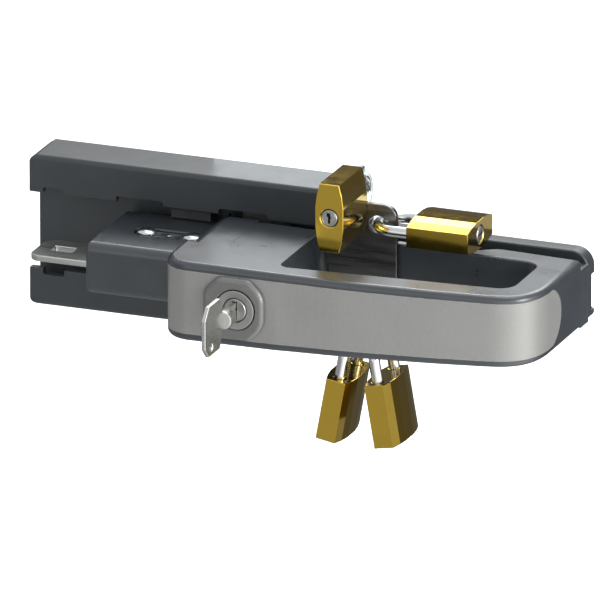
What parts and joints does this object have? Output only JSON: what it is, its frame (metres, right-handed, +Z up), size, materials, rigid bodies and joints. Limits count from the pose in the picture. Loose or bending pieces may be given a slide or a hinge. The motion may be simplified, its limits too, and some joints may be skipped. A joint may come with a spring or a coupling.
{
  "type": "lockout hasp",
  "caption": "Sliding guard-door bolt handle on a guide rail, with a key lock and a steel lockout hasp plate that brass padlocks pin in its grip opening.",
  "frame": {"origin": "middle of the mounting face that lies on the door frame, at half height", "axes": "+X along the bolt away from its tongue, +Y into the door frame, +Z up; the front is towards -Y"},
  "size_m": [0.277, 0.1403, 0.135],
  "materials": {
    "dark_casting": "satin blue-grey powder coat on the die-cast housing",
    "rail_casting": "satin blue-grey powder coat on the rail and base plate",
    "cover_silver": "fine matt silver lacquer",
    "nickel": "satin nickel plate",
    "stainless": "brushed stainless steel",
    "zinc_steel": "zinc-plated steel",
    "hard_steel": "bright plated hardened steel",
    "brass": "polished brass",
    "acetal": "black acetal",
    "rubber": "black rubber",
    "boss_grey": "satin grey lacquered die casting",
    "burnished_steel": "dark burnished steel"
  },
  "bodies": {
    "base": {"guide_rail": "rail_casting", "rail_screw_1": "zinc_steel", "rail_screw_2": "zinc_steel", "rail_screw_3": "zinc_steel", "rail_screw_4": "zinc_steel", "travel_stop_upper": "rubber", "travel_stop_lower": "rubber", "right_base_plate": "rail_casting", "base_screw_1": "zinc_steel", "base_screw_2": "zinc_steel", "base_screw_3": "zinc_steel", "base_screw_4": "zinc_steel", "hasp_plate": "burnished_steel", "hasp_bracket_upper": "zinc_steel", "hasp_bracket_lower": "zinc_steel", "bracket_screw_upper": "zinc_steel", "bracket_screw_lower": "zinc_steel"},
    "slider": {"slide_housing": "dark_casting", "grip_cover": "cover_silver", "lock_bezel": "boss_grey", "rear_cover": "zinc_steel", "guide_shoe_left": "acetal", "guide_shoe_right": "acetal", "bolt_tongue": "stainless", "clamp_plate": "zinc_steel", "clamp_pin_1": "hard_steel", "clamp_pin_2": "hard_steel", "lock_cylinder": "nickel", "lock_nut": "zinc_steel", "rod_spring": "hard_steel"},
    "key_set": {"key_plug": "nickel", "key": "stainless", "lock_cam": "zinc_steel"},
    "lock_rod": {"lock_rod": "stainless"},
    "padlock_1_shackle": {"padlock_1_shackle": "hard_steel"},
    "padlock_1_case": {"padlock_1_body": "brass", "padlock_1_latch": "zinc_steel"},
    "padlock_1_plug": {"padlock_1_plug": "nickel"},
    "padlock_2_shackle": {"padlock_2_shackle": "hard_steel"},
    "padlock_2_case": {"padlock_2_body": "brass", "padlock_2_latch": "zinc_steel"},
    "padlock_2_plug": {"padlock_2_plug": "nickel"},
    "padlock_3_shackle": {"padlock_3_shackle": "hard_steel"},
    "padlock_3_case": {"padlock_3_body": "brass", "padlock_3_latch": "zinc_steel"},
    "padlock_3_plug": {"padlock_3_plug": "nickel"},
    "padlock_4_shackle": {"padlock_4_shackle": "hard_steel"},
    "padlock_4_case": {"padlock_4_body": "brass", "padlock_4_latch": "zinc_steel"},
    "padlock_4_plug": {"padlock_4_plug": "nickel"}
  },
  "joints": [
    {"name": "bolt_slide", "type": "slide", "parent": "base", "child": "slider", "axis": [-1, 0, 0], "range_m": [0, 0.066]},
    {"name": "key_turn", "type": "hinge", "parent": "slider", "child": "key_set", "pos_m": [-0.0038, -0.1, 0], "axis": [0, 1, 0], "range_deg": [0, 90]},
    {"name": "lock_rod_slide", "type": "slide", "parent": "slider", "child": "lock_rod", "axis": [0, 1, 0], "range_m": [0, 0.008], "deforming": ["rod_spring"]},
    {"name": "padlock_1_swing", "type": "hinge", "parent": "base", "child": "padlock_1_shackle", "pos_m": [0.0309, -0.033, 0.0283], "axis": [0, 1, 0], "range_deg": [-36, 0]},
    {"name": "padlock_1_release", "type": "slide", "parent": "padlock_1_shackle", "child": "padlock_1_case", "axis": [0, -1, 0], "range_m": [0, 0.008]},
    {"name": "padlock_1_key_turn", "type": "hinge", "parent": "padlock_1_case", "child": "padlock_1_plug", "pos_m": [0.0309, -0.0674, 0.0393], "axis": [0, -1, 0], "range_deg": [0, 90]},
    {"name": "padlock_2_swing", "type": "hinge", "parent": "base", "child": "padlock_2_shackle", "pos_m": [0.0434, -0.033, 0.0283], "axis": [0, -1, 0], "range_deg": [-2.5, 70]},
    {"name": "padlock_2_release", "type": "slide", "parent": "padlock_2_shackle", "child": "padlock_2_case", "axis": [1, 0, 0], "range_m": [0, 0.008]},
    {"name": "padlock_2_key_turn", "type": "hinge", "parent": "padlock_2_case", "child": "padlock_2_plug", "pos_m": [0.0936, -0.033, 0.0283], "axis": [1, 0, 0], "range_deg": [0, 90]},
    {"name": "padlock_3_swing", "type": "hinge", "parent": "base", "child": "padlock_3_shackle", "pos_m": [0.0309, -0.033, -0.0285], "axis": [0, 1, 0], "range_deg": [0, 25]},
    {"name": "padlock_3_release", "type": "slide", "parent": "padlock_3_shackle", "child": "padlock_3_case", "axis": [-0.1788, 0, -0.9839], "range_m": [0, 0.008]},
    {"name": "padlock_3_key_turn", "type": "hinge", "parent": "padlock_3_case", "child": "padlock_3_plug", "pos_m": [0.0309, -0.033, -0.0285], "axis": [-0.1788, 0, -0.9839], "range_deg": [0, 90]},
    {"name": "padlock_4_swing", "type": "hinge", "parent": "base", "child": "padlock_4_shackle", "pos_m": [0.0432, -0.033, -0.0285], "axis": [0, -1, 0], "range_deg": [0, 60]},
    {"name": "padlock_4_release", "type": "slide", "parent": "padlock_4_shackle", "child": "padlock_4_case", "axis": [0.1702, 0, -0.9854], "range_m": [0, 0.008]},
    {"name": "padlock_4_key_turn", "type": "hinge", "parent": "padlock_4_case", "child": "padlock_4_plug", "pos_m": [0.0432, -0.033, -0.0285], "axis": [0.1702, 0, -0.9854], "range_deg": [0, 90]}
  ],
  "couplings": [
    {"joint": "lock_rod_slide", "follows": "key_turn", "m_per_rad": 0.005092}
  ]
}
